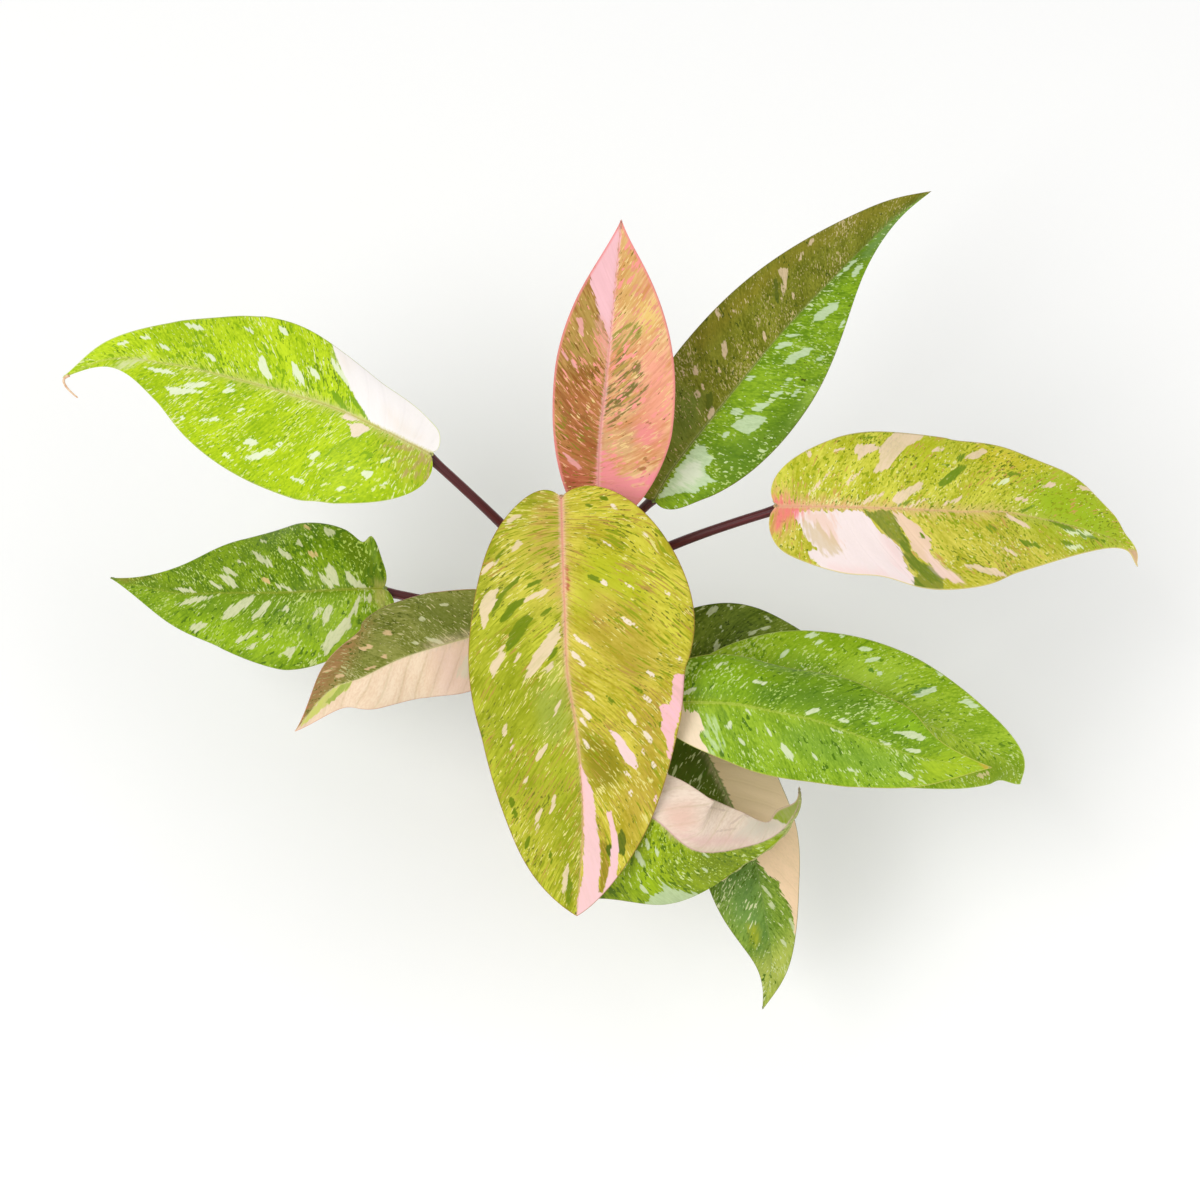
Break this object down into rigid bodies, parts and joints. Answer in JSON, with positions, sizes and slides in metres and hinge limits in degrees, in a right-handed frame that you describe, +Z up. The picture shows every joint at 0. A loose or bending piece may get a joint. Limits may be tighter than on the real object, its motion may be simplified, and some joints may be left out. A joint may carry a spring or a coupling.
{
  "type": "potted variegated philodendron",
  "caption": "Variegated philodendron in a plain round nursery pot: one ringed stem with sheathed stalks and heart-based, drip-tipped leaves speckled green, cream and pink.",
  "frame": {"origin": "centre of the pot's flat underside", "axes": "+Z up along the pot's axis, +X along the plant's widest spread, -Y the side that the largest leaf hangs over"},
  "size_m": [0.5453, 0.3962, 0.3304],
  "materials": {
    "pot": "matte",
    "soil": "rough",
    "stem": "satin",
    "shoot": "satin",
    "stalk": "satin",
    "leaf_green": "satin",
    "leaf_dark": "satin",
    "leaf_lime": "satin",
    "leaf_olive": "satin",
    "leaf_cream": "satin",
    "leaf_pink": "satin"
  },
  "bodies": {
    "root": {"pot": "pot", "soil": "soil", "stem": "stem", "new_shoot": "shoot", "stalk_01": "stalk", "stalk_02": "stalk", "stalk_03": "stalk", "stalk_04": "stalk", "stalk_05": "stalk", "stalk_06": "stalk", "stalk_07": "stalk", "stalk_08": "stalk", "stalk_09": "stalk", "stalk_10": "stalk", "stalk_11": "stalk", "stalk_12": "stalk", "blade_01": "leaf_dark", "blade_02": "leaf_dark", "blade_03": "leaf_green", "blade_04": "leaf_green", "blade_05": "leaf_cream", "blade_06": "leaf_cream", "blade_07": "leaf_green", "blade_08": "leaf_lime", "blade_09": "leaf_dark", "blade_10": "leaf_lime", "blade_11": "leaf_olive", "blade_12": "leaf_pink"}
  },
  "joints": []
}
